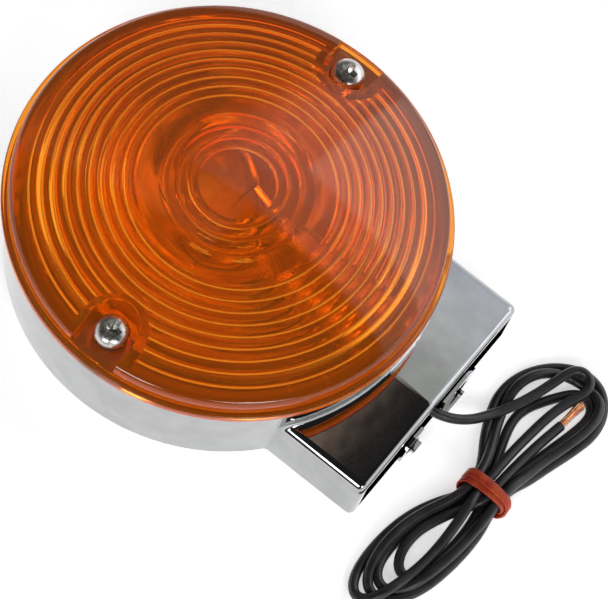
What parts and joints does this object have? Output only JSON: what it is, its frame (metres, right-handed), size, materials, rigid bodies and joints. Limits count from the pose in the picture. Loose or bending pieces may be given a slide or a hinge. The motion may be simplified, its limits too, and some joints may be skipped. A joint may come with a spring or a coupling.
{
  "type": "turn signal indicator",
  "caption": "Round turn signal with an amber screwed-on lens, a bright die-cast housing with a short bolt-on neck, a bayonet bulb inside and a banded lead wire.",
  "frame": {"origin": "centre of the round housing on its flat back face", "axes": "+Z along the lens axis out through the lens, +X out along the neck towards its bolt boss"},
  "size_m": [0.1273, 0.0888, 0.0344],
  "materials": {
    "chrome_casting": "polished",
    "amber_plastic": "glossy, translucent",
    "black_rubber": "matt",
    "stainless": "bright",
    "bright_sheet": "bright",
    "plated_steel": "zinc plated",
    "brown_phenolic": "matt",
    "contact_brass": "bright",
    "spring_steel": "bright",
    "clear_glass": "clear",
    "cap_brass": "satin",
    "dark_bead": "glossy",
    "solder": "dull",
    "tungsten": "dull",
    "black_wire": "satin",
    "band_rubber": "matt",
    "copper": "bright"
  },
  "bodies": {
    "base": {"housing": "chrome_casting", "lens_gasket": "black_rubber", "reflector": "bright_sheet", "reflector_rivets": "bright_sheet", "socket_shell": "plated_steel", "socket_bracket": "plated_steel", "bracket_washer": "plated_steel", "bracket_screw": "plated_steel", "contact_spring": "spring_steel", "inner_lead": "black_wire", "wire_grommet": "black_rubber", "lead_wire": "black_wire", "lead_hank": "black_wire", "rubber_band": "band_rubber", "copper_strands": "copper"},
    "lens_unit": {"lens": "amber_plastic"},
    "seal_a": {"screw_seal_a": "black_rubber"},
    "screw_a": {"lens_screw_a": "stainless"},
    "seal_b": {"screw_seal_b": "black_rubber"},
    "screw_b": {"lens_screw_b": "stainless"},
    "contact": {"contact_disc": "brown_phenolic", "contact_button": "contact_brass"},
    "bulb": {"bulb_glass": "clear_glass", "bulb_cap": "cap_brass", "bulb_pins": "cap_brass", "bulb_bead": "dark_bead", "bulb_contact": "solder", "bulb_stem": "clear_glass", "filament_supports": "spring_steel", "bulb_filament": "tungsten"}
  },
  "joints": [
    {"name": "lens_lift", "type": "slide", "parent": "base", "child": "lens_unit", "axis": [0, 0, 1], "range_m": [0, 0.03]},
    {"name": "screw_a_rise", "type": "slide", "parent": "lens_unit", "child": "seal_a", "axis": [0, 0, 1], "range_m": [0, 0.008]},
    {"name": "screw_a_turn", "type": "hinge", "parent": "seal_a", "child": "screw_a", "pos_m": [0, 0.037, 0.0253], "axis": [0, 0, 1], "range_deg": [0, 2268]},
    {"name": "screw_b_rise", "type": "slide", "parent": "lens_unit", "child": "seal_b", "axis": [0, 0, 1], "range_m": [0, 0.008]},
    {"name": "screw_b_turn", "type": "hinge", "parent": "seal_b", "child": "screw_b", "pos_m": [0, -0.037, 0.0253], "axis": [0, 0, 1], "range_deg": [0, 2268]},
    {"name": "contact_press", "type": "slide", "parent": "base", "child": "contact", "axis": [1, 0, 0], "range_m": [0, 0.0016], "stiffness_N_per_m": 1500, "springref_m": -0.0004, "deforming": ["contact_spring"]},
    {"name": "bulb_turn", "type": "hinge", "parent": "contact", "child": "bulb", "pos_m": [0, 0, 0.0164], "axis": [1, 0, 0], "range_deg": [0, 25]}
  ],
  "couplings": [
    {"joint": "screw_a_turn", "follows": "screw_a_rise", "rad_per_m": 4947.4},
    {"joint": "screw_b_turn", "follows": "screw_b_rise", "rad_per_m": 4947.4}
  ]
}
